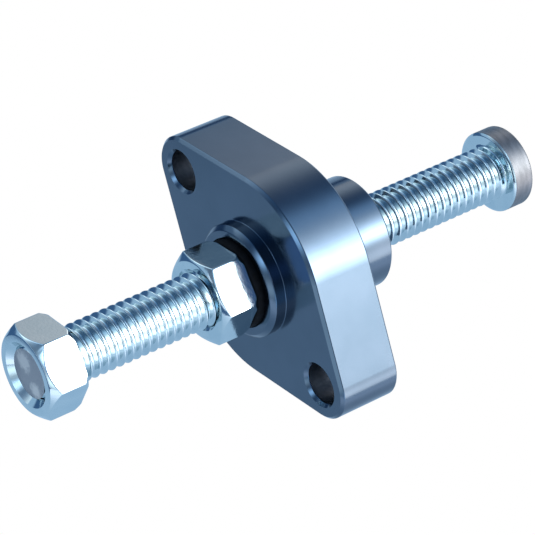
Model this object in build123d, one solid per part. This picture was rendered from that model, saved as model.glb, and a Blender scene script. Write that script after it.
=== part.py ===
from build123d import *
import math
import os

# Manual cam chain tensioner: a bolt screws through a two-hole flange and pushes the
# chain's tensioner blade with its turned head, and a lock nut holds the setting.
# Frame, in millimetres: the origin is on the bolt's axis, in the flange's mounting face.
# +X runs to one mounting hole, +Y along the bolt into the engine, +Z up.

# Thread of the bolt, 3/8 inch with 16 turns to the inch, drawn as its crest cylinder
thread_diameter = 9.525
thread_clearance = 0.06
thread_end_chamfer = 0.55

# Flange: a rhombus of straight sides tangent to one centre arc and two end arcs
flange_thickness = 11.3
flange_centre_radius = 18.3
flange_end_radius = 6.0
flange_front_chamfer = 0.5
flange_rear_chamfer = 0.2
mounting_hole_spacing = 42.5
mounting_hole_diameter = 6.75
mounting_hole_front_chamfer = 0.56
mounting_hole_rear_chamfer = 0.3

# Spigot that centres the body in the engine's bore
spigot_diameter = 19.36
spigot_length = 10.75
spigot_chamfer = 0.3
spigot_thread_mouth = 0.5

# Boss on the flange's front, with the seal's seat sunk into its face
boss_height = 2.7
boss_wall = 2.09
boss_chamfer = 0.75
boss_foot_radius = 0.3

# Rubber seal ring, squeezed square between its seat and the lock nut
seal_width = 2.7
seal_height = 2.7
seal_corner_cut = 0.7
seal_bolt_clearance = 0.1
seal_seat_clearance = 0.1
seal_seat_depth = 1.45
seal_nut_gap = 0.05

# Lock nut, with a wide face chamfer in front and a steeper corner cut at its seat
lock_nut_flats = 14.1
lock_nut_thickness = 6.5
lock_nut_corner_angle = 96.9
lock_nut_face_cut = 1.44
lock_nut_face_angle = 30.0
lock_nut_seat_cut = 0.64
lock_nut_seat_angle = 61.0
lock_nut_mouth = 0.5

# Drive nut, locked on the bolt's outer end with the bolt sunk below its face
drive_nut_flats = 14.1
drive_nut_thickness = 6.7
drive_nut_corner_angle = 94.7
drive_nut_face_cut = 1.4
drive_nut_face_angle = 45.0
drive_nut_seat_cut = 0.64
drive_nut_seat_angle = 56.0
drive_nut_mouth = 0.7
drive_nut_rear_mouth = 0.4
bolt_end_recess = 0.7

# Reach of the bolt on each side of the mounting face
bolt_outer_reach = 53.9
bolt_inner_reach = 43.65

# Pad: the bolt's head, turned round
pad_diameter = 14.2
pad_thickness = 4.05
pad_land_width = 0.45
pad_land_depth = 0.3
pad_edge_radius = 0.35

# Positions and radii that follow from the sizes above
half_spacing = mounting_hole_spacing / 2
bolt_radius = thread_diameter / 2
threaded_bore = bolt_radius + thread_clearance
boss_front = -(flange_thickness + boss_height)
seal_inner = bolt_radius + seal_bolt_clearance
seal_outer = seal_inner + seal_width
seal_seat_radius = seal_outer + seal_seat_clearance
seal_floor = boss_front + seal_seat_depth
seal_front = seal_floor - seal_height
lock_nut_seat = seal_front - seal_nut_gap
boss_radius = seal_seat_radius + boss_wall
bolt_outer_end = -bolt_outer_reach
drive_nut_face = bolt_outer_end - bolt_end_recess
same_place = 1e-6


def turned(*points):
    """Solid turned about the bolt's axis from a closed outline of (radius, y) points."""
    return revolve(make_face(Polyline(*points, close=True)), Axis.Y)


def flange_outline():
    """Face of the flange: two centre arcs and two end arcs joined by tangent lines."""
    lean = math.acos((flange_centre_radius - flange_end_radius) / half_spacing)
    lean_degrees = math.degrees(lean)
    reach = math.cos(lean)
    rise = math.sin(lean)
    sides = [
        Line(
            (across * flange_centre_radius * reach, up * flange_centre_radius * rise),
            (across * (half_spacing + flange_end_radius * reach), up * flange_end_radius * rise),
        )
        for across in (-1, 1)
        for up in (-1, 1)
    ]
    centre_sweep = 180 - 2 * lean_degrees
    arcs = [
        CenterArc((0, 0), flange_centre_radius, lean_degrees, centre_sweep),
        CenterArc((0, 0), flange_centre_radius, 180 + lean_degrees, centre_sweep),
        CenterArc((half_spacing, 0), flange_end_radius, -lean_degrees, 2 * lean_degrees),
        CenterArc((-half_spacing, 0), flange_end_radius, 180 - lean_degrees, 2 * lean_degrees),
    ]
    return make_face(Wire(sides + arcs))


def flange():
    """Flange plate with its front and rear edges broken."""
    plate = extrude(Plane.XZ * flange_outline(), amount=flange_thickness)
    plate = chamfer(plate.faces().sort_by(Axis.Y)[0].edges(), flange_front_chamfer)
    return chamfer(plate.faces().sort_by(Axis.Y)[-1].edges(), flange_rear_chamfer)


def mounting_hole(x):
    """Cutter for one mounting hole with both mouths chamfered."""
    radius = mounting_hole_diameter / 2
    front_mouth = radius + mounting_hole_front_chamfer
    rear_mouth = radius + mounting_hole_rear_chamfer
    cutter = turned(
        (0, -flange_thickness),
        (front_mouth, -flange_thickness),
        (radius, -flange_thickness + mounting_hole_front_chamfer),
        (radius, -mounting_hole_rear_chamfer),
        (rear_mouth, 0),
        (0, 0),
    )
    return Pos(x, 0, 0) * cutter


def threaded_hole():
    """Cutter for the seal's seat and the threaded hole down the body's axis."""
    rear_mouth = threaded_bore + spigot_thread_mouth
    return turned(
        (0, boss_front),
        (seal_seat_radius, boss_front),
        (seal_seat_radius, seal_floor),
        (threaded_bore, seal_floor),
        (threaded_bore, spigot_length - spigot_thread_mouth),
        (rear_mouth, spigot_length),
        (0, spigot_length),
    )


def tensioner_body():
    """One-piece body: flange, front boss and rear spigot, with all of its holes."""
    spigot_radius = spigot_diameter / 2
    barrel = turned(
        (0, boss_front),
        (boss_radius - boss_chamfer, boss_front),
        (boss_radius, boss_front + boss_chamfer),
        (boss_radius, -flange_thickness),
        (spigot_radius, -flange_thickness / 2),
        (spigot_radius, spigot_length - spigot_chamfer),
        (spigot_radius - spigot_chamfer, spigot_length),
        (0, spigot_length),
    )
    solid = flange() + barrel
    foot = [
        edge
        for edge in solid.edges().filter_by(GeomType.CIRCLE)
        if abs(edge.radius - boss_radius) < same_place
        and abs(edge.center().Y + flange_thickness) < same_place
    ]
    solid = fillet(foot, boss_foot_radius)
    solid -= mounting_hole(half_spacing)
    solid -= mounting_hole(-half_spacing)
    return solid - threaded_hole()


def adjuster_bolt():
    """Threaded bolt with its head turned to a round pad."""
    pad_radius = pad_diameter / 2
    pad_under = bolt_inner_reach - pad_thickness
    solid = turned(
        (0, bolt_outer_end),
        (bolt_radius - thread_end_chamfer, bolt_outer_end),
        (bolt_radius, bolt_outer_end + thread_end_chamfer),
        (bolt_radius, pad_under),
        (pad_radius - pad_land_width, pad_under),
        (pad_radius, pad_under + pad_land_depth),
        (pad_radius, bolt_inner_reach),
        (0, bolt_inner_reach),
    )
    rim = solid.faces().sort_by(Axis.Y)[-1].edges()
    return fillet(rim, pad_edge_radius)


def hexagon_nut(face, thickness, flats, corner_angle, face_cut, face_angle, seat_cut, seat_angle,
                front_mouth, rear_mouth):
    """Nut from its outer face at y = face: a hexagon cut by two cones, with countersunk mouths."""
    corner_radius = flats / math.sqrt(3)
    seat = face + thickness
    hexagon = RegularPolygon(flats / 2, 6, major_radius=False, rotation=corner_angle)
    prism = extrude(Plane.XZ * Pos(0, 0, -seat) * hexagon, amount=thickness)
    cones = turned(
        (0, face),
        (corner_radius - face_cut, face),
        (corner_radius, face + face_cut * math.tan(math.radians(face_angle))),
        (corner_radius, seat - seat_cut * math.tan(math.radians(seat_angle))),
        (corner_radius - seat_cut, seat),
        (0, seat),
    )
    hole = turned(
        (0, face),
        (threaded_bore + front_mouth, face),
        (threaded_bore, face + front_mouth),
        (threaded_bore, seat - rear_mouth),
        (threaded_bore + rear_mouth, seat),
        (0, seat),
    )
    return (prism & cones) - hole


def lock_nut():
    """Nut that clamps the setting against the seal and the boss."""
    return hexagon_nut(
        lock_nut_seat - lock_nut_thickness, lock_nut_thickness, lock_nut_flats, lock_nut_corner_angle,
        lock_nut_face_cut, lock_nut_face_angle, lock_nut_seat_cut, lock_nut_seat_angle,
        lock_nut_mouth, lock_nut_mouth,
    )


def drive_nut():
    """Nut locked on the bolt's outer end, by which the bolt is turned."""
    return hexagon_nut(
        drive_nut_face, drive_nut_thickness, drive_nut_flats, drive_nut_corner_angle,
        drive_nut_face_cut, drive_nut_face_angle, drive_nut_seat_cut, drive_nut_seat_angle,
        drive_nut_mouth, drive_nut_rear_mouth,
    )


def seal_ring():
    """Rubber ring, a square with cut corners in section, from its seat to the lock nut."""
    return turned(
        (seal_inner + seal_corner_cut, seal_front),
        (seal_outer - seal_corner_cut, seal_front),
        (seal_outer, seal_front + seal_corner_cut),
        (seal_outer, seal_floor - seal_corner_cut),
        (seal_outer - seal_corner_cut, seal_floor),
        (seal_inner + seal_corner_cut, seal_floor),
        (seal_inner, seal_floor - seal_corner_cut),
        (seal_inner, seal_front + seal_corner_cut),
    )


nodes = {
    "tensioner_body": tensioner_body(),
    "adjuster_bolt": adjuster_bolt(),
    "drive_nut": drive_nut(),
    "lock_nut": lock_nut(),
    "seal_ring": seal_ring(),
}

os.makedirs("parts", exist_ok=True)
for name, solid in nodes.items():
    export_step(solid, f"parts/{name}.step")
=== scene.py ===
import logging
import math
from dataclasses import dataclass, replace
from enum import Enum
from typing import Callable, Sequence

import bmesh
import bpy
from mathutils import Matrix, Vector
from mathutils.geometry import tessellate_polygon


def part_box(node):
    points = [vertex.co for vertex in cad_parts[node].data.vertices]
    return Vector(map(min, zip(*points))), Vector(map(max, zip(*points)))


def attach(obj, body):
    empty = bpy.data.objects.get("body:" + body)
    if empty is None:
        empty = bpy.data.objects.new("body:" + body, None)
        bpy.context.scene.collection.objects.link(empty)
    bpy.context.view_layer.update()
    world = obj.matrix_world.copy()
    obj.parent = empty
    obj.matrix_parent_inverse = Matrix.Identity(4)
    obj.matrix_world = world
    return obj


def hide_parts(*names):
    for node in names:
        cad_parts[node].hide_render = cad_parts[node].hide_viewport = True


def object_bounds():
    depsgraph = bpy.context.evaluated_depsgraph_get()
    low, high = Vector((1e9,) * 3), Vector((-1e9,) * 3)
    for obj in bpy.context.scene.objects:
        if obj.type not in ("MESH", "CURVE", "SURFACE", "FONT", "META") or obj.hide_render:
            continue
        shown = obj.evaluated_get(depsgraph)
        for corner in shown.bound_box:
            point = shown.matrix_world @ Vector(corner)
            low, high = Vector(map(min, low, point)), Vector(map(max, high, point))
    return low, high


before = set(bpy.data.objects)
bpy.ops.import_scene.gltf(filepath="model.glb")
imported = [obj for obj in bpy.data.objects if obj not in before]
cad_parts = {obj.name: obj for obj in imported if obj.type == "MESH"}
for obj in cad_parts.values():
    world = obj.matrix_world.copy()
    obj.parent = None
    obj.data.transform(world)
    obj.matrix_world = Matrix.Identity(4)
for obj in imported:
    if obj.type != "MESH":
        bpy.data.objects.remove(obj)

# Manual cam chain tensioner: an anodised flange, a zinc-plated adjuster bolt and its two
# nuts, and a rubber seal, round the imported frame. Lengths are millimetres until a mesh is
# made. The bolt's axis is Y, and angles round it run from +X towards +Z.

log = logging.getLogger("tensioner")

MM = 0.001
FULL_TURN = 2 * math.pi
WELD_DISTANCE = 1e-6
HALF_SIDE = math.radians(30)
SHARP_ANGLE = math.radians(38)
LONGEST_ROUNDING = 0.45
GRITTY = 0.6
SMOOTH_LAYERS = 2.0
CAD_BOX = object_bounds()

Point = tuple[float, float]


class Slot(Enum):
    """Material slots of the record, named for each piece as it is settled."""

    ALUMINIUM = "anodised_aluminium"
    ZINC = "zinc_plated_steel"
    RUBBER = "black_rubber"


class Body(Enum):
    """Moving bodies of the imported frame."""

    HOUSING = "housing"
    SEAL = "seal"
    ADJUSTER = "adjuster"
    LOCKING = "locking"


class Value:
    """A number that varies over a surface: a node socket that takes part in arithmetic."""

    def __init__(self, graph: "Graph", socket: bpy.types.NodeSocket) -> None:
        """Wraps the output socket that carries the number, and keeps the graph for new nodes."""
        self.graph = graph
        self.socket = socket

    def _joined(self, operation: str, *terms: "Value | float") -> "Value":
        """Result of a new Math node with these terms as its inputs."""
        node = self.graph.add("ShaderNodeMath", {"operation": operation}, dict(enumerate(terms)))
        return Value(self.graph, node.outputs[0])

    def __add__(self, other: "Value | float") -> "Value":
        """Sum."""
        return self._joined("ADD", self, other)

    def __radd__(self, other: float) -> "Value":
        """Sum with a number on the left."""
        return self._joined("ADD", other, self)

    def __sub__(self, other: "Value | float") -> "Value":
        """Difference."""
        return self._joined("SUBTRACT", self, other)

    def __rsub__(self, other: float) -> "Value":
        """Difference with a number on the left."""
        return self._joined("SUBTRACT", other, self)

    def __mul__(self, other: "Value | float") -> "Value":
        """Product."""
        return self._joined("MULTIPLY", self, other)

    def __rmul__(self, other: float) -> "Value":
        """Product with a number on the left."""
        return self._joined("MULTIPLY", other, self)

    def __truediv__(self, other: "Value | float") -> "Value":
        """Quotient."""
        return self._joined("DIVIDE", self, other)

    def __pow__(self, other: "Value | float") -> "Value":
        """Power."""
        return self._joined("POWER", self, other)

    def size(self) -> "Value":
        """The number without its sign."""
        return self._joined("ABSOLUTE", self)

    def root(self) -> "Value":
        """The square root."""
        return self._joined("SQRT", self)

    def at_least(self, limit: float) -> "Value":
        """The number, or the limit where that is more."""
        return self._joined("MAXIMUM", self, limit)

    def ramp(self, low: float, high: float) -> "Value":
        """A smooth step from 0 at low to 1 at high.

        Args:
            low: Where the step starts.
            high: Where it ends.

        Returns:
            The step, from 0 to 1.
        """
        node = self.graph.add(
            "ShaderNodeMapRange",
            {"interpolation_type": "SMOOTHSTEP"},
            {"Value": self, "From Min": low, "From Max": high},
        )
        return Value(self.graph, node.outputs[0])


class Graph:
    """The nodes of one material or world."""

    def __init__(self, tree: bpy.types.NodeTree) -> None:
        """Empties the tree that is to be filled."""
        self.tree = tree
        self.tree.nodes.clear()

    def add(self, kind: str, settings: dict | None = None, inputs: dict | None = None) -> bpy.types.Node:
        """Makes any node.

        Args:
            kind: The node's type name.
            settings: Its own settings, which are set first.
            inputs: Values or links of its sockets, by name or number.

        Returns:
            The new node.
        """
        node = self.tree.nodes.new(kind)
        for name, setting in (settings or {}).items():
            setattr(node, name, setting)
        for socket, value in (inputs or {}).items():
            source = value.socket if isinstance(value, Value) else value
            if isinstance(source, bpy.types.NodeSocket):
                self.tree.links.new(source, node.inputs[socket])
            else:
                node.inputs[socket].default_value = source
        return node

    def place(self) -> bpy.types.NodeSocket:
        """The point on the piece, in its own frame, in metres."""
        return self.add("ShaderNodeTexCoord").outputs["Object"]

    def part(self, vector: bpy.types.NodeSocket, axis: str) -> Value:
        """One coordinate of a vector, by its axis X, Y or Z."""
        node = self.add("ShaderNodeSeparateXYZ", inputs={0: vector})
        return Value(self, node.outputs[axis])

    def facing_along(self) -> Value:
        """How far the surface faces along the bolt's axis, from 0 to 1."""
        normal = self.add("ShaderNodeTexCoord").outputs["Normal"]
        return self.part(normal, "Y").size()

    def axis_distance(self) -> Value:
        """Measures how far a point is from the bolt's axis.

        Returns:
            The distance in millimetres.
        """
        place = self.place()
        across = self.part(place, "X") / MM
        up = self.part(place, "Z") / MM
        return (across * across + up * up).root()

    def noise(self, grain: tuple[float, float, float], detail: float = 3.0,
              roughness: float = 0.5) -> Value:
        """Noise over the piece.

        Args:
            grain: The size of its blots along X, Y and Z, in millimetres.
            detail: How many finer layers it has.
            roughness: How strong the finer layers are.

        Returns:
            The noise, about 0.5 on average.
        """
        scaled = self.add(
            "ShaderNodeVectorMath",
            {"operation": "MULTIPLY"},
            {0: self.place(), 1: tuple(1 / (size * MM) for size in grain)},
        )
        node = self.add(
            "ShaderNodeTexNoise",
            inputs={"Vector": scaled.outputs[0], "Scale": 1.0, "Detail": detail, "Roughness": roughness},
        )
        return Value(self, node.outputs[0])

    def rings(self, along: Value, width: float, detail: float = 3.0) -> Value:
        """Lines of uneven depth across one direction, as a cutting tool leaves them.

        Args:
            along: The distance that the lines are counted in, in millimetres.
            width: The usual width of a line, in millimetres.
            detail: How many finer layers they have.

        Returns:
            The lines, about 0.5 on average.
        """
        node = self.add(
            "ShaderNodeTexNoise",
            {"noise_dimensions": "1D"},
            {"W": along / width, "Scale": 1.0, "Detail": detail},
        )
        return Value(self, node.outputs[0])

    def blend(self, share: Value, first: tuple | bpy.types.NodeSocket,
              second: tuple | bpy.types.NodeSocket) -> bpy.types.NodeSocket:
        """Colour from the first at a share of 0 to the second at a share of 1."""
        node = self.add("ShaderNodeMix", {"data_type": "RGBA"}, {0: share, 6: first, 7: second})
        return node.outputs[2]

    def bump(self, height: Value, depth: float,
             under: bpy.types.NodeSocket | None = None) -> bpy.types.NodeSocket:
        """Turns a height into a normal.

        Args:
            height: The height, from 0 to 1.
            depth: The depth of a height of 1, in millimetres.
            under: A bump that this one lies on.

        Returns:
            The bent normal.
        """
        inputs = {"Height": height, "Distance": depth * MM, "Strength": 1.0}
        if under is not None:
            inputs["Normal"] = under
        return self.add("ShaderNodeBump", inputs=inputs).outputs[0]

    def surface(self, **sockets: object) -> None:
        """Ends the graph in one Principled shader.

        Args:
            sockets: Its sockets' values or links, with underscores for spaces.
        """
        inputs = {name.replace("_", " "): value for name, value in sockets.items()}
        shader = self.add("ShaderNodeBsdfPrincipled", inputs=inputs)
        self.add("ShaderNodeOutputMaterial", inputs={0: shader.outputs[0]})


def new_graph(name: str) -> tuple[bpy.types.Material, Graph]:
    """Makes an empty node material.

    Args:
        name: The material's name.

    Returns:
        The material and its graph.
    """
    material = bpy.data.materials.new(name)
    material.use_nodes = True
    return material, Graph(material.node_tree)


@dataclass(frozen=True)
class AnodisedAluminium:
    """Billet aluminium, finely milled, then anodised a gunmetal blue."""

    dark: tuple = (0.066, 0.106, 0.152, 1)
    light: tuple = (0.076, 0.117, 0.166, 1)
    roughness: float = 0.14
    grain_roughness: float = 0.05
    mark_roughness: float = 0.03
    mill_depth: float = 0.0012
    grain_depth: float = 0.0006
    cloud_size: tuple = (7.0, 7.0, 7.0)
    cloud_range: tuple = (0.3, 0.7)
    grain_size: tuple = (0.16, 0.16, 0.16)
    milled_size: tuple = (0.30, 14.0, 0.30)
    ring_width: float = 0.22
    coat_weight: float = 0.35
    coat_roughness: float = 0.10

    def material(self) -> bpy.types.Material:
        """Makes the material.

        Returns:
            The material.
        """
        material, graph = new_graph("anodised_gunmetal")
        cloud = graph.noise(self.cloud_size).ramp(*self.cloud_range)
        grain = graph.noise(self.grain_size, roughness=GRITTY)
        facing = graph.facing_along()
        turned = graph.rings(graph.axis_distance(), self.ring_width)
        milled = graph.noise(self.milled_size, roughness=GRITTY)
        marks = turned * facing + milled * (1 - facing)
        normal = graph.bump(marks, self.mill_depth)
        normal = graph.bump(grain, self.grain_depth, normal)
        graph.surface(
            Base_Color=graph.blend(cloud, self.dark, self.light),
            Metallic=1.0,
            Roughness=self.roughness + self.grain_roughness * grain + self.mark_roughness * marks,
            Coat_Weight=self.coat_weight,
            Coat_Roughness=self.coat_roughness,
            Coat_IOR=1.5,
            Normal=normal,
        )
        return material


@dataclass(frozen=True)
class ZincPlate:
    """Bright zinc plating with a clear blue passivation."""

    blue: tuple = (0.53, 0.64, 0.67, 1)
    grey: tuple = (0.58, 0.68, 0.70, 1)
    roughness: float = 0.075
    uneven_roughness: float = 0.02
    peel_depth: float = 0.008
    grain_depth: float = 0.00064
    cloud_size: tuple = (3.5, 3.5, 3.5)
    cloud_range: tuple = (0.35, 0.65)
    peel_size: tuple = (0.55, 0.55, 0.55)
    grain_size: tuple = (0.10, 0.10, 0.10)

    def material(self) -> bpy.types.Material:
        """Makes the material.

        Returns:
            The material.
        """
        material, graph = new_graph("zinc_plate")
        cloud = graph.noise(self.cloud_size).ramp(*self.cloud_range)
        peel = graph.noise(self.peel_size, SMOOTH_LAYERS)
        grain = graph.noise(self.grain_size, roughness=GRITTY)
        normal = graph.bump(peel, self.peel_depth)
        normal = graph.bump(grain, self.grain_depth, normal)
        graph.surface(
            Base_Color=graph.blend(cloud, self.blue, self.grey),
            Metallic=1.0,
            Roughness=self.roughness + self.uneven_roughness * (grain + cloud),
            Normal=normal,
        )
        return material


@dataclass(frozen=True)
class TurnedMetal:
    """Bare metal straight from the cutter, with the tool's fine rings: by default the steel pad."""

    name: str = "turned_steel"
    dark: tuple = (0.14, 0.156, 0.172, 1)
    light: tuple = (0.19, 0.208, 0.230, 1)
    roughness: float = 0.38
    mark_roughness: float = 0.10
    ring_depth: float = 0.003
    side_ring: float = 0.09
    end_ring: float = 0.12
    cloud_size: tuple = (2.5, 0.8, 2.5)
    cloud_range: tuple = (0.3, 0.7)

    def material(self) -> bpy.types.Material:
        """Makes the material.

        Returns:
            The material.
        """
        material, graph = new_graph(self.name)
        facing = graph.facing_along()
        along = graph.part(graph.place(), "Y") / MM
        side = graph.rings(along, self.side_ring)
        end = graph.rings(graph.axis_distance(), self.end_ring)
        marks = end * facing + side * (1 - facing)
        cloud = graph.noise(self.cloud_size).ramp(*self.cloud_range)
        graph.surface(
            Base_Color=graph.blend(cloud, self.dark, self.light),
            Metallic=1.0,
            Roughness=self.roughness + self.mark_roughness * marks,
            Normal=graph.bump(marks, self.ring_depth),
        )
        return material


BORED_ALUMINIUM = TurnedMetal(
    name="bored_aluminium", dark=(0.20, 0.22, 0.245, 1), light=(0.26, 0.28, 0.31, 1), roughness=0.30,
)


@dataclass(frozen=True)
class SawnSteel:
    """The bolt's cut end: dull steel with bright patches, each given as (x, z, radius), partly smeared steel
    and partly a painted highlight.
    """

    dark: tuple = (0.48, 0.46, 0.46, 1)
    # Colour of the bright patches: partly smeared steel, partly a painted highlight of the key light.
    light: tuple = (1.0, 0.88, 0.78, 1)
    roughness: float = 0.42
    roughness_range: float = 0.1
    patches: tuple[tuple[float, float, float], ...] = ((-2.0, 0.6, 2.4), (2.6, -1.2, 1.8))
    patch_strength: float = 0.75
    patch_core: float = 0.35
    patch_fray: float = 1.2
    grain_size: tuple = (0.15, 0.15, 0.15)
    grain_depth: float = 0.010
    smear_size: tuple = (0.9, 0.9, 0.9)

    def material(self) -> bpy.types.Material:
        """Makes the material.

        Returns:
            The material.
        """
        material, graph = new_graph("sawn_steel")
        place = graph.place()
        grain = graph.noise(self.grain_size, roughness=GRITTY)
        ragged = graph.noise(self.smear_size, roughness=GRITTY)
        # Bright patches: partly real smears, partly a painted highlight.
        smear_and_highlight = (1 - self.patch_strength) * ragged
        for x, z, radius in self.patches:
            across = graph.part(place, "X") / MM - x
            up = graph.part(place, "Z") / MM - z
            distance = (across * across + up * up).root() + self.patch_fray * radius * (ragged - 0.5)
            smear_and_highlight = smear_and_highlight + self.patch_strength * (1 - distance.ramp(self.patch_core * radius, radius))
        graph.surface(
            Base_Color=graph.blend(smear_and_highlight, self.dark, self.light),
            Metallic=1.0,
            Roughness=self.roughness + self.roughness_range * (grain - smear_and_highlight),
            Normal=graph.bump(grain, self.grain_depth),
        )
        return material


@dataclass(frozen=True)
class BlackRubber:
    """Smooth moulded rubber with a faint bloom."""

    black: tuple = (0.0015, 0.0015, 0.002, 1)
    bloom: tuple = (0.004, 0.0045, 0.006, 1)
    roughness: float = 0.62
    grain_roughness: float = 0.12
    reflection: float = 0.12
    grain_size: tuple = (0.12, 0.12, 0.12)
    grain_depth: float = 0.004
    cloud_size: tuple = (1.6, 1.6, 1.6)
    cloud_range: tuple = (0.4, 0.7)

    def material(self) -> bpy.types.Material:
        """Makes the material.

        Returns:
            The material.
        """
        material, graph = new_graph("black_rubber")
        cloud = graph.noise(self.cloud_size).ramp(*self.cloud_range)
        grain = graph.noise(self.grain_size, SMOOTH_LAYERS)
        graph.surface(
            Base_Color=graph.blend(cloud, self.black, self.bloom),
            Roughness=self.roughness + self.grain_roughness * grain,
            Specular_IOR_Level=self.reflection,
            Normal=graph.bump(grain, self.grain_depth),
        )
        return material


def soften(line: Sequence[Point], radius: float, steps: int = 3) -> list[Point]:
    """Rounds every inner corner of an open line.

    Args:
        line: Its points.
        radius: How far from a corner the rounding starts; short runs limit it.
        steps: The number of runs in each rounding.

    Returns:
        The softened line, with steps + 1 points for each inner corner.
    """
    soft = [tuple(line[0])]
    for before, corner, after in zip(line, line[1:], line[2:]):
        middle = Vector(corner)
        back = Vector(before) - middle
        ahead = Vector(after) - middle
        start = middle + back.normalized() * min(radius, LONGEST_ROUNDING * back.length)
        end = middle + ahead.normalized() * min(radius, LONGEST_ROUNDING * ahead.length)
        for step in range(steps + 1):
            t = step / steps
            soft.append(tuple((1 - t) ** 2 * start + 2 * t * (1 - t) * middle + t * t * end))
    soft.append(tuple(line[-1]))
    return soft


def round_angles(count: int) -> list[float]:
    """Even angles round the axis, in radians."""
    return [FULL_TURN * index / count for index in range(count)]


def aimed(angle: float) -> Vector:
    """Unit vector at an angle from +X."""
    return Vector((math.cos(angle), math.sin(angle)))


class Skin:
    """Collects rows of points, joins them with faces and welds them into one closed mesh."""

    def __init__(self) -> None:
        """Starts empty."""
        self.points: list[tuple[float, float, float]] = []
        self.faces: list[tuple[int, ...]] = []
        self.finishes: list[int] = []

    def row(self, points: Sequence[tuple[float, float, float]]) -> list[int]:
        """Adds a row of points.

        Args:
            points: The points in millimetres.

        Returns:
            Their numbers.
        """
        first = len(self.points)
        self.points.extend(points)
        return list(range(first, len(self.points)))

    def circle(self, radius: float, y: float, angles: Sequence[float], centre: float = 0.0) -> list[int]:
        """Adds a circle of points round the bolt's axis, or round a parallel at X = centre."""
        return self.row([(centre + radius * math.cos(a), y, radius * math.sin(a)) for a in angles])

    def band(self, first: Sequence[int], second: Sequence[int], finish: int = 0,
             closed: bool = True) -> None:
        """Joins two rows of the same length with quads.

        Args:
            first: One row.
            second: The other row.
            finish: The number of the finish on these faces.
            closed: Whether the rows go all the way round.
        """
        count = len(first)
        for index in range(count if closed else count - 1):
            after = (index + 1) % count
            self.faces.append((first[index], first[after], second[after], second[index]))
            self.finishes.append(finish)

    def turn(self, line: Sequence[Point], angles: Sequence[float], finish: int = 0,
             centre: float = 0.0) -> tuple[list[int], list[int]]:
        """Turns a line of (radius, y) points about an axis.

        Args:
            line: The points.
            angles: The angles of the rows' points.
            finish: The number of the finish on these faces.
            centre: The X of the axis.

        Returns:
            The first and the last row.
        """
        rows = [self.circle(radius, y, angles, centre) for radius, y in line]
        for first, second in zip(rows, rows[1:]):
            self.band(first, second, finish)
        return rows[0], rows[-1]

    def cover(self, outer: Sequence[int], holes: Sequence[Sequence[int]] = (), finish: int = 0) -> None:
        """Fills a flat outline that lies across the axis.

        Args:
            outer: The row round the outside.
            holes: The rows round its holes.
            finish: The number of the finish on these faces.
        """
        loops = [list(outer), *[list(hole) for hole in holes]]
        flat = [[Vector((self.points[i][0], self.points[i][2], 0)) for i in loop] for loop in loops]
        numbers = [index for loop in loops for index in loop]
        for triangle in tessellate_polygon(flat):
            self.faces.append(tuple(numbers[corner] for corner in triangle))
            self.finishes.append(finish)

    def piece(self, name: str, finishes: Sequence[bpy.types.Material]) -> bpy.types.Object:
        """Welds the faces and makes the Blender object.

        Args:
            name: The piece's name.
            finishes: Its materials, in the order of the faces' finish numbers.

        Returns:
            The object.
        """
        mesh = bpy.data.meshes.new(name)
        mesh.from_pydata([Vector(point) * MM for point in self.points], [], self.faces)
        for material in finishes:
            mesh.materials.append(material)
        mesh.polygons.foreach_set("material_index", self.finishes)
        work = bmesh.new()
        work.from_mesh(mesh)
        bmesh.ops.remove_doubles(work, verts=work.verts, dist=WELD_DISTANCE)
        bmesh.ops.recalc_face_normals(work, faces=work.faces)
        open_edges = sum(1 for edge in work.edges if not edge.is_manifold)
        work.to_mesh(mesh)
        work.free()
        mesh.shade_smooth()
        mesh.set_sharp_from_angle(angle=SHARP_ANGLE)
        piece = bpy.data.objects.new(name, mesh)
        bpy.context.scene.collection.objects.link(piece)
        weighted = piece.modifiers.new("even_normals", "WEIGHTED_NORMAL")
        weighted.keep_sharp = True
        log.info("%s: %d faces, %d open edges", name, len(mesh.polygons), open_edges)
        return piece


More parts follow.
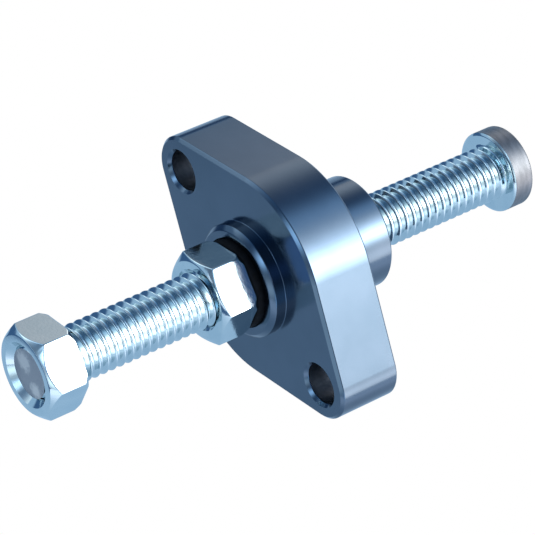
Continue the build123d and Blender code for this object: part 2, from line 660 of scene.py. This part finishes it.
@dataclass(frozen=True)
class Thread:
    """A right-hand thread, from its crest radius inwards."""

    flank_angle: float = 60.0
    crest_radius: float = 4.7425
    depth: float = 0.93
    pitch: float = 1.5875
    crest_flat: float = 0.14
    rounding: float = 0.18
    phase: float = 0.0
    clearance: float = 0.06
    nut_minor_radius: float = 4.0

    def inside(self) -> "Thread":
        """The thread of a hole that this one screws into."""
        crest_radius = self.crest_radius + self.clearance
        return replace(self, crest_radius=crest_radius, depth=crest_radius - self.nut_minor_radius)

    def outline(self) -> list[Point]:
        """One pitch of the thread as (share of the pitch, radius), from root to root.

        Returns:
            The points, without the one that starts the next pitch.
        """
        crest_half = self.crest_flat / 2
        flank = self.depth * math.tan(math.radians(self.flank_angle / 2))
        middle = self.pitch / 2
        root_radius = self.crest_radius - self.depth
        line = [
            (0.0, root_radius),
            (middle - crest_half - flank, root_radius),
            (middle - crest_half, self.crest_radius),
            (middle + crest_half, self.crest_radius),
            (middle + crest_half + flank, root_radius),
            (self.pitch, root_radius),
        ]
        return [(along / self.pitch, radius) for along, radius in soften(line, self.rounding)[:-1]]

    def wrap(self, skin: Skin, angles: Sequence[float], low: float, high: float,
             shaped: Callable[[float, float], float], ends: Point, finish: int = 0) -> None:
        """Winds the thread between two planes across the axis.

        Args:
            skin: The mesh that it goes into.
            angles: The angles of its columns, over less than a full turn.
            low: Where it starts along the axis.
            high: Where it ends.
            shaped: Gives the radius in use from the thread's own radius and the place along the axis.
            ends: The radii of the circles in which it starts and ends.
            finish: The number of the finish on these faces.
        """
        outline = self.outline()
        first_turn = math.floor((low - self.phase) / self.pitch) - 1
        last_turn = math.ceil((high - self.phase) / self.pitch) + 2
        columns = []
        for angle in [*angles, angles[0] + FULL_TURN]:
            points = []
            for turn in range(first_turn, last_turn + 1):
                for share, radius in outline:
                    y = self.phase + self.pitch * (turn + share - angle / FULL_TURN)
                    if y <= low:
                        points.append((ends[0], low))
                    elif y >= high:
                        points.append((ends[1], high))
                    else:
                        points.append((shaped(radius, y), y))
            columns.append(skin.row([(r * math.cos(angle), y, r * math.sin(angle)) for r, y in points]))
        for first, second in zip(columns, columns[1:]):
            skin.band(first, second, finish, closed=False)


@dataclass
class Finishes:
    """The materials that the pieces share."""

    aluminium: bpy.types.Material
    bored_aluminium: bpy.types.Material
    zinc: bpy.types.Material
    turned: bpy.types.Material
    sawn: bpy.types.Material
    rubber: bpy.types.Material

    @classmethod
    def mixed(cls) -> "Finishes":
        """Makes every material once.

        Returns:
            The set of materials.
        """
        return cls(
            AnodisedAluminium().material(),
            BORED_ALUMINIUM.material(),
            ZincPlate().material(),
            TurnedMetal().material(),
            SawnSteel().material(),
            BlackRubber().material(),
        )


def span(node: str) -> tuple[Vector, Vector]:
    """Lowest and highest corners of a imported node, in millimetres."""
    low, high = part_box(node)
    return Vector(low) / MM, Vector(high) / MM


def settle(piece: bpy.types.Object, body: Body, slot: Slot, node: str) -> None:
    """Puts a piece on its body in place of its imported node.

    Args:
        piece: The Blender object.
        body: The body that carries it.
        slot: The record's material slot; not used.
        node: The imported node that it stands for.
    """
    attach(piece, body.value)
    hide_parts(node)
    log.info("%s rides on %s", piece.name, body.value)


@dataclass
class Housing:
    """One-piece body: flange, front boss with the seal's seat, spigot and threaded hole."""

    finishes: Finishes
    thread: Thread
    hole_spacing: float = 42.5
    hole_radius: float = 3.375
    hole_front_chamfer: float = 0.56
    hole_rear_chamfer: float = 0.3
    boss_height: float = 2.7
    boss_radius: float = 9.7525
    boss_chamfer: float = 0.75
    boss_foot: float = 0.3
    seat_radius: float = 7.6625
    seat_depth: float = 1.45
    spigot_radius: float = 9.68
    spigot_chamfer: float = 0.3
    front_chamfer: float = 0.5
    rear_chamfer: float = 0.2
    thread_mouth: float = 0.5
    edge_softness: float = 0.10
    round_points: int = 144
    hole_points: int = 72
    arc_points: int = 56
    end_points: int = 40
    side_points: int = 10

    def rim(self) -> list[tuple[Point, Point]]:
        """The flange's outline as (point, outward normal) pairs in X and Z.

        Returns:
            The pairs, once round from the +X end.
        """
        low, high = span("tensioner_body")
        centre_radius = high.z
        half = self.hole_spacing / 2
        end_radius = high.x - half
        lean = math.acos((centre_radius - end_radius) / half)
        pairs = []

        def arc(middle: float, radius: float, start: float, stop: float, count: int) -> None:
            """Adds the points of one arc.

            Args:
                middle: The X of its centre.
                radius: Its radius.
                start: The angle of its first point.
                stop: The angle of its last point.
                count: The number of steps.
            """
            for step in range(count + 1):
                angle = start + (stop - start) * step / count
                normal = (math.cos(angle), math.sin(angle))
                pairs.append(((middle + radius * normal[0], radius * normal[1]), normal))

        def side(normal: Point, start: Point, stop: Point) -> None:
            """Adds the inner points of one straight side.

            Args:
                normal: Its outward normal.
                start: Where it starts.
                stop: Where it ends.
            """
            for step in range(1, self.side_points):
                t = step / self.side_points
                pairs.append((tuple(Vector(start).lerp(Vector(stop), t)), normal))

        stretches = [
            (half, end_radius, -lean, lean, self.end_points),
            (0.0, centre_radius, lean, math.pi - lean, self.arc_points),
            (-half, end_radius, math.pi - lean, math.pi + lean, self.end_points),
            (0.0, centre_radius, math.pi + lean, FULL_TURN - lean, self.arc_points),
        ]
        for index, stretch in enumerate(stretches):
            arc(*stretch)
            following = stretches[(index + 1) % len(stretches)]
            angle = stretch[3]
            normal = (math.cos(angle), math.sin(angle))
            start = (stretch[0] + stretch[1] * normal[0], stretch[1] * normal[1])
            stop = (following[0] + following[1] * normal[0], following[1] * normal[1])
            side(normal, start, stop)
        return pairs

    def build(self) -> bpy.types.Object:
        """Builds the body.

        Returns:
            The piece.
        """
        low, high = span("tensioner_body")
        boss_front = low.y
        spigot_end = high.y
        front = boss_front + self.boss_height
        skin = Skin()
        outer_front, outer_rear = self._flange_side(skin, front)
        holes_front, holes_rear = self._mounting_holes(skin, front)
        angles = round_angles(self.round_points)
        bore = self.thread.crest_radius
        boss = soften(
            [
                (self.boss_radius + self.boss_foot, front),
                (self.boss_radius, front),
                (self.boss_radius, boss_front + self.boss_chamfer),
                (self.boss_radius - self.boss_chamfer, boss_front),
                (self.seat_radius, boss_front),
                (self.seat_radius, boss_front + self.seat_depth),
                (bore, boss_front + self.seat_depth),
            ],
            self.edge_softness,
        )
        boss_foot, _ = skin.turn(boss, angles)
        spigot = soften(
            [
                (bore + self.thread_mouth, spigot_end),
                (self.spigot_radius - self.spigot_chamfer, spigot_end),
                (self.spigot_radius, spigot_end - self.spigot_chamfer),
                (self.spigot_radius, 0.0),
            ],
            self.edge_softness,
        )
        _, spigot_foot = skin.turn(spigot, angles)
        seat_floor = boss_front + self.seat_depth
        mouth = bore + self.thread_mouth
        self.thread.wrap(
            skin, angles, seat_floor, spigot_end,
            lambda radius, y: max(radius, mouth - (spigot_end - y)),
            (bore, mouth),
        )
        skin.cover(outer_front, [boss_foot, *holes_front])
        skin.cover(outer_rear, [spigot_foot, *holes_rear])
        piece = skin.piece("housing_body", [self.finishes.aluminium, self.finishes.bored_aluminium])
        settle(piece, Body.HOUSING, Slot.ALUMINIUM, "tensioner_body")
        return piece

    def _flange_side(self, skin: Skin, front: float) -> tuple[list[int], list[int]]:
        """Adds the flange's rim with its broken edges.

        Args:
            skin: The body's mesh.
            front: The flange's front plane.

        Returns:
            The rows that bound the front and the rear face.
        """
        line = soften(
            [
                (self.front_chamfer, front),
                (0.0, front + self.front_chamfer),
                (0.0, -self.rear_chamfer),
                (self.rear_chamfer, 0.0),
            ],
            self.edge_softness,
        )
        pairs = self.rim()
        rows = []
        for inset, y in line:
            rows.append(skin.row([(p[0] - n[0] * inset, y, p[1] - n[1] * inset) for p, n in pairs]))
        for first, second in zip(rows, rows[1:]):
            skin.band(first, second)
        return rows[0], rows[-1]

    def _mounting_holes(self, skin: Skin, front: float) -> tuple[list[list[int]], list[list[int]]]:
        """Adds both mounting holes, with bare walls between their anodised mouths.

        Args:
            skin: The body's mesh.
            front: The flange's front plane.

        Returns:
            The holes' rows in the front face and in the rear face.
        """
        line = soften(
            [
                (self.hole_radius + self.hole_front_chamfer, front),
                (self.hole_radius, front + self.hole_front_chamfer),
                (self.hole_radius, -self.hole_rear_chamfer),
                (self.hole_radius + self.hole_rear_chamfer, 0.0),
            ],
            self.edge_softness,
        )
        fronts, rears = [], []
        angles = round_angles(self.hole_points)
        wall = len(line) // 2
        for centre in (-self.hole_spacing / 2, self.hole_spacing / 2):
            first, _ = skin.turn(line[:wall], angles, 0, centre)
            skin.turn(line[wall - 1:wall + 1], angles, 1, centre)
            _, last = skin.turn(line[wall:], angles, 0, centre)
            fronts.append(first)
            rears.append(last)
        return fronts, rears


@dataclass
class HexagonNut:
    """Hexagon nut with a coned face, cut corners at its seat and a countersunk thread."""

    finishes: Finishes
    thread: Thread
    name: str
    node: str
    body: Body
    flats: float
    corner_angle: float
    face_cut: float
    face_angle: float
    seat_cut: float
    seat_angle: float
    front_mouth: float
    rear_mouth: float
    corner_softness: float = 0.30
    edge_softness: float = 0.14
    least_break: float = 0.07
    flat_points: int = 18
    corner_points: int = 6

    def outline(self) -> list[tuple[float, float]]:
        """The hexagon with its corners rounded a little.

        Returns:
            Its points as (angle, distance from the axis), once round.
        """
        corner = (self.flats / 2 - self.corner_softness) / math.cos(HALF_SIDE)
        points = []
        for index in range(6):
            turn = math.radians(self.corner_angle) + 2 * HALF_SIDE * index
            centre = corner * aimed(turn)
            next_centre = corner * aimed(turn + 2 * HALF_SIDE)
            for step in range(self.corner_points + 1):
                angle = turn + HALF_SIDE * (2 * step / self.corner_points - 1)
                points.append(centre + self.corner_softness * aimed(angle))
            lift = self.corner_softness * aimed(turn + HALF_SIDE)
            for step in range(1, self.flat_points):
                points.append(centre.lerp(next_centre, step / self.flat_points) + lift)
        polar = [(math.atan2(point.y, point.x) % FULL_TURN, point.length) for point in points]
        return sorted(polar)

    def column(self, reach: float, face: float, seat: float) -> list[Point]:
        """The nut's outline through its axis, where the hexagon has a given distance.

        Args:
            reach: The hexagon's distance from the axis.
            face: The plane of the outer face.
            seat: The plane of the seat.

        Returns:
            The (radius, y) points from the face's mouth to the seat's mouth.
        """
        corner = self.flats / math.sqrt(3)
        face_radius = corner - self.face_cut
        seat_radius = min(corner - self.seat_cut, reach - self.least_break)
        face_drop = (reach - face_radius) * math.tan(math.radians(self.face_angle))
        seat_drop = (reach - seat_radius) * math.tan(math.radians(self.seat_angle))
        bore = self.thread.crest_radius
        return soften(
            [
                (bore + self.front_mouth, face),
                (face_radius, face),
                (reach, face + face_drop),
                (reach, seat - seat_drop),
                (seat_radius, seat),
                (bore + self.rear_mouth, seat),
            ],
            self.edge_softness,
        )

    def build(self) -> bpy.types.Object:
        """Builds the nut.

        Returns:
            The piece.
        """
        low, high = span(self.node)
        face, seat = low.y, high.y
        outline = self.outline()
        angles = [angle for angle, _ in outline]
        columns = [self.column(reach, face, seat) for _, reach in outline]
        skin = Skin()
        rows = []
        for line in zip(*columns):
            rows.append(skin.row([(r * math.cos(a), y, r * math.sin(a)) for a, (r, y) in zip(angles, line)]))
        for first, second in zip(rows, rows[1:]):
            skin.band(first, second)
        front_radius = self.thread.crest_radius + self.front_mouth
        rear_radius = self.thread.crest_radius + self.rear_mouth
        self.thread.wrap(
            skin, angles, face, seat,
            lambda radius, y: max(radius, front_radius - (y - face), rear_radius - (seat - y)),
            (front_radius, rear_radius),
        )
        piece = skin.piece(self.name, [self.finishes.zinc])
        settle(piece, self.body, Slot.ZINC, self.node)
        return piece


@dataclass
class AdjusterBolt:
    """Bolt threaded up to its head, whose plating is turned away to leave a bare round pad."""

    finishes: Finishes
    thread: Thread
    end_chamfer: float = 0.55
    pad_thickness: float = 4.05
    land_width: float = 0.45
    land_depth: float = 0.3
    edge_radius: float = 0.35
    neck_radius: float = 0.35
    land_softness: float = 0.16
    plating_step: float = 0.02
    end_ring: float = 0.4
    round_points: int = 96

    def build(self) -> bpy.types.Object:
        """Builds the bolt with its pad.

        Returns:
            The piece.
        """
        low, high = span("adjuster_bolt")
        end, pad_end, pad_radius = low.y, high.y, high.x
        under = pad_end - self.pad_thickness
        crest = self.thread.crest_radius
        end_radius = crest - self.end_chamfer
        neck = crest + self.neck_radius
        angles = round_angles(self.round_points)
        skin = Skin()

        def shaped(radius: float, y: float) -> float:
            """Cuts the thread by the end's cone and fills it to a fillet under the head.

            Args:
                radius: The thread's radius.
                y: The place along the axis.

            Returns:
                The radius in use.
            """
            short = max(0.0, y - (under - self.neck_radius))
            fillet = neck - math.sqrt(max(0.0, self.neck_radius**2 - short**2)) if short else 0.0
            return max(min(radius, end_radius + (y - end)), fillet)

        zinc, turned, sawn = range(3)
        self.thread.wrap(skin, angles, end, under, shaped, (end_radius, neck), zinc)
        skin.cover(skin.circle(end_radius, end, angles), finish=sawn)
        seam = (pad_radius - self.plating_step, under + self.land_depth)
        zinc_line = soften(
            [(neck, under), (pad_radius - self.land_width, under), seam],
            self.land_softness,
        )
        skin.turn(zinc_line, angles, zinc)
        steel_line = soften(
            [
                seam,
                (pad_radius, seam[1] + self.plating_step),
                (pad_radius, pad_end),
                (self.end_ring * pad_radius, pad_end),
            ],
            self.edge_radius,
            5,
        )
        _, middle = skin.turn(steel_line, angles, turned)
        skin.cover(middle, finish=turned)
        piece = skin.piece("threaded_bolt", [self.finishes.zinc, self.finishes.turned, self.finishes.sawn])
        settle(piece, Body.ADJUSTER, Slot.ZINC, "adjuster_bolt")
        return piece


@dataclass
class SealRing:
    """Rubber ring squeezed between its seat and the lock nut."""

    finishes: Finishes
    thread: Thread
    bolt_clearance: float = 0.12
    corner: float = 1.15
    round_points: int = 120
    corner_steps: int = 7

    def build(self) -> bpy.types.Object:
        """Builds the ring.

        Returns:
            The piece.
        """
        low, high = span("seal_ring")
        outer = high.x
        inner = self.thread.crest_radius + self.bolt_clearance
        middle = (inner + outer) / 2
        corners = [
            (middle, low.y), (outer, low.y), (outer, high.y),
            (inner, high.y), (inner, low.y), (middle, low.y),
        ]
        line = soften(corners, self.corner, self.corner_steps)
        skin = Skin()
        skin.turn(line, round_angles(self.round_points))
        piece = skin.piece("seal", [self.finishes.rubber])
        settle(piece, Body.SEAL, Slot.RUBBER, "seal_ring")
        return piece


@dataclass(frozen=True)
class Glow:
    """A soft window or lit wall of the studio, which fades evenly to all sides."""

    direction: tuple[float, float, float]
    spread: float
    level: tuple[float, float, float]

    def add_to(self, graph: Graph, room: bpy.types.NodeSocket | tuple,
               sight: bpy.types.NodeSocket) -> bpy.types.NodeSocket:
        """Adds the glow to the room's light.

        Args:
            graph: The world's graph.
            room: The light of the room so far.
            sight: The direction that is looked in.

        Returns:
            The light with the glow in it.
        """
        aim = tuple(Vector(self.direction).normalized())
        across = graph.add("ShaderNodeVectorMath", {"operation": "DOT_PRODUCT"}, {0: sight, 1: aim})
        nearness = Value(graph, across.outputs["Value"]).at_least(0.0)
        sharpness = math.log(0.5) / math.log(math.cos(math.radians(self.spread)))
        tinted = graph.add(
            "ShaderNodeVectorMath", {"operation": "SCALE"}, {0: self.level, "Scale": nearness**sharpness}
        )
        total = graph.add("ShaderNodeVectorMath", {"operation": "ADD"}, {0: room, 1: tinted.outputs[0]})
        return total.outputs[0]


@dataclass
class Studio:
    """Camera, a softly lit room and a plain pale floor whose reflections carry painted light and shade."""

    azimuth: float = 28.120
    elevation: float = 55.385
    roll: float = 33.339
    distance: float = 475.19
    shift_right: float = 6.018
    shift_up: float = -2.362
    focal: float = 195.86
    sensor: float = 36.0
    nearest: float = 10.0
    farthest: float = 20000.0
    floor_drop: float = 70.0
    floor_size: float = 6000.0
    floor_colour: tuple = (0.50, 0.66, 0.80, 1)
    # Floor seen in reflections: painted shade near the object, painted light of the key further off.
    painted_shade_near_floor: tuple = (0.42, 0.62, 0.86, 1)
    painted_light_far_floor: tuple = (1.30, 1.45, 1.75, 1)
    white: tuple = (1.0, 1.0, 1.0, 1)
    painted_light_ramp: tuple[float, float] = (60.0, 440.0)
    painted_light_lean: float = 0.5
    # Painted shade: a dark band laid into the floor's reflections.
    painted_shade_colour: tuple = (0.06, 0.14, 0.30, 1)
    painted_shade_band: tuple[float, float, float, float] = (112.0, 138.0, 260.0, 400.0)
    painted_shade_lean: float = 0.8
    sky: tuple = (0.04, 0.08, 0.16)
    key_window: Glow = Glow((0.53, 0.52, 0.67), 10, (10.2, 9.4, 8.6))
    key_veil: Glow = Glow((0.38, 0.52, 0.77), 17, (5.2, 5.2, 5.3))
    right_window: Glow = Glow((0.86, 0.50, 0.16), 16, (4.7, 4.2, 4.0))
    right_wall: Glow = Glow((0.95, -0.25, 0.12), 18, (1.3, 2.0, 2.8))
    front_window: Glow = Glow((-0.06, -0.80, 0.60), 10, (2.5, 3.4, 4.3))
    front_ceiling: Glow = Glow((0.42, -0.52, 0.74), 11, (0.35, 0.60, 1.15))
    front_wall: Glow = Glow((-0.10, -0.95, 0.30), 20, (0.2, 0.25, 0.3))
    front_right_window: Glow = Glow((0.52, -0.82, 0.20), 13, (1.4, 1.6, 1.7))
    left_wall: Glow = Glow((-0.95, -0.30, 0.05), 20, (1.6, 1.8, 1.9))
    upper_left_wall: Glow = Glow((-0.75, -0.35, 0.55), 20, (0.1, 0.3, 0.6))
    rear_left_wall: Glow = Glow((-0.70, 0.70, 0.12), 14, (2.2, 2.05, 1.95))
    rear_ceiling: Glow = Glow((-0.20, 0.50, 0.84), 11, (0.75, 1.10, 1.50))
    left_ceiling: Glow = Glow((-0.58, 0.48, 0.66), 15, (0.10, 0.16, 0.26))
    rear_wall: Glow = Glow((-0.05, 0.98, 0.05), 18, (0.9, 1.0, 1.15))

    def build(self) -> None:
        """Builds the camera, the room and the floor."""
        self._camera()
        self._room()
        self._floor()
        log.info("studio is set")

    def _camera(self) -> None:
        """Aims the camera as in the photograph."""
        turn, lift, roll = (math.radians(a) for a in (self.azimuth, self.elevation, self.roll))
        right = Vector((math.cos(turn), math.sin(turn), 0))
        back = Vector((math.sin(turn) * math.cos(lift), -math.cos(turn) * math.cos(lift), math.sin(lift)))
        up = back.cross(right)
        side = math.cos(roll) * right + math.sin(roll) * up
        top = math.cos(roll) * up - math.sin(roll) * right
        place = (self.distance * back - self.shift_right * side + self.shift_up * top) * MM
        lens = bpy.data.cameras.new("camera")
        lens.lens = self.focal
        lens.sensor_width = self.sensor
        lens.clip_start = self.nearest * MM
        lens.clip_end = self.farthest * MM
        camera = bpy.data.objects.new("camera", lens)
        camera.matrix_world = Matrix.Translation(place) @ Matrix((side, top, back)).transposed().to_4x4()
        bpy.context.scene.collection.objects.link(camera)
        bpy.context.scene.camera = camera

    def _room(self) -> None:
        """Lights the world with soft windows and walls on a dim sky."""
        world = bpy.data.worlds.new("room")
        world.use_nodes = True
        bpy.context.scene.world = world
        graph = Graph(world.node_tree)
        sight = graph.add("ShaderNodeTexCoord").outputs["Generated"]
        glows = (
            self.key_window, self.key_veil, self.right_window, self.right_wall, self.front_window,
            self.front_ceiling, self.front_wall, self.front_right_window, self.left_wall,
            self.upper_left_wall, self.rear_left_wall, self.rear_ceiling, self.left_ceiling,
            self.rear_wall,
        )
        light: bpy.types.NodeSocket | tuple = self.sky
        for glow in glows:
            light = glow.add_to(graph, light, sight)
        room = graph.add("ShaderNodeBackground", inputs={"Color": light, "Strength": 1.0})
        graph.add("ShaderNodeOutputWorld", inputs={0: room.outputs[0]})

    def _floor(self) -> None:
        """Lays the floor: white to the camera; in reflections a painted blue, with painted shade near the
        object, painted key light further off and one painted band of shade.
        """
        low = CAD_BOX[0][2] / MM - self.floor_drop
        half = self.floor_size / 2
        skin = Skin()
        corners = skin.row([(-half, -half, low), (half, -half, low), (half, half, low), (-half, half, low)])
        mesh = bpy.data.meshes.new("floor")
        mesh.from_pydata([Vector(skin.points[i]) * MM for i in corners], [], [tuple(corners)])
        material, graph = new_graph("pale_floor")
        rays = graph.add("ShaderNodeLightPath")
        seen = [Value(graph, rays.outputs[name]) for name in ("Is Camera Ray", "Is Transmission Ray")]
        mirrored = Value(graph, rays.outputs["Is Glossy Ray"])
        lit = graph.add("ShaderNodeBsdfDiffuse", inputs={"Color": self.floor_colour})
        place = graph.place()
        x, y = graph.part(place, "X"), graph.part(place, "Y")
        # Painted light: the reflected floor grows brighter with X and with distance along Y.
        far = ((x + self.painted_light_lean * y.size()) / MM).ramp(*self.painted_light_ramp)
        leftward = (x + self.painted_shade_lean * y) / -MM
        start, full, fades, end = self.painted_shade_band
        # Painted shade: mask of the dark band, seen only in reflections.
        dim = leftward.ramp(start, full) * (1 - leftward.ramp(fades, end))
        # Painted reflection colour of the floor: painted shade near the object, painted light further off.
        pale = graph.blend(far, self.painted_shade_near_floor, self.painted_light_far_floor)
        painted_floor_reflection = graph.blend(dim, pale, self.painted_shade_colour)
        tint = graph.blend(mirrored, self.white, painted_floor_reflection)
        ground = graph.add("ShaderNodeEmission", inputs={"Color": tint, "Strength": 1.0})
        share = seen[0] + seen[1] + mirrored
        mixed = graph.add("ShaderNodeMixShader", inputs={0: share, 1: lit.outputs[0], 2: ground.outputs[0]})
        graph.add("ShaderNodeOutputMaterial", inputs={0: mixed.outputs[0]})
        mesh.materials.append(material)
        floor = bpy.data.objects.new("floor", mesh)
        bpy.context.scene.collection.objects.link(floor)


def main() -> None:
    """Builds every sub-assembly in order."""
    logging.basicConfig(level=logging.INFO, format="%(name)s: %(message)s")
    bpy.context.scene.view_settings.view_transform = "Standard"
    finishes = Finishes.mixed()
    outer = Thread()
    inner = outer.inside()
    Housing(finishes, inner).build()
    AdjusterBolt(finishes, outer).build()
    HexagonNut(
        finishes, inner, "drive_nut_hex", "drive_nut", Body.ADJUSTER, flats=14.1, corner_angle=94.7,
        face_cut=1.4, face_angle=45, seat_cut=0.64, seat_angle=56, front_mouth=0.7, rear_mouth=0.4,
    ).build()
    HexagonNut(
        finishes, inner, "lock_nut_hex", "lock_nut", Body.LOCKING, flats=14.1, corner_angle=96.9,
        face_cut=1.44, face_angle=30, seat_cut=0.64, seat_angle=61, front_mouth=0.5, rear_mouth=0.5,
    ).build()
    SealRing(finishes, outer).build()
    Studio().build()


if __name__ == "__main__":
    main()
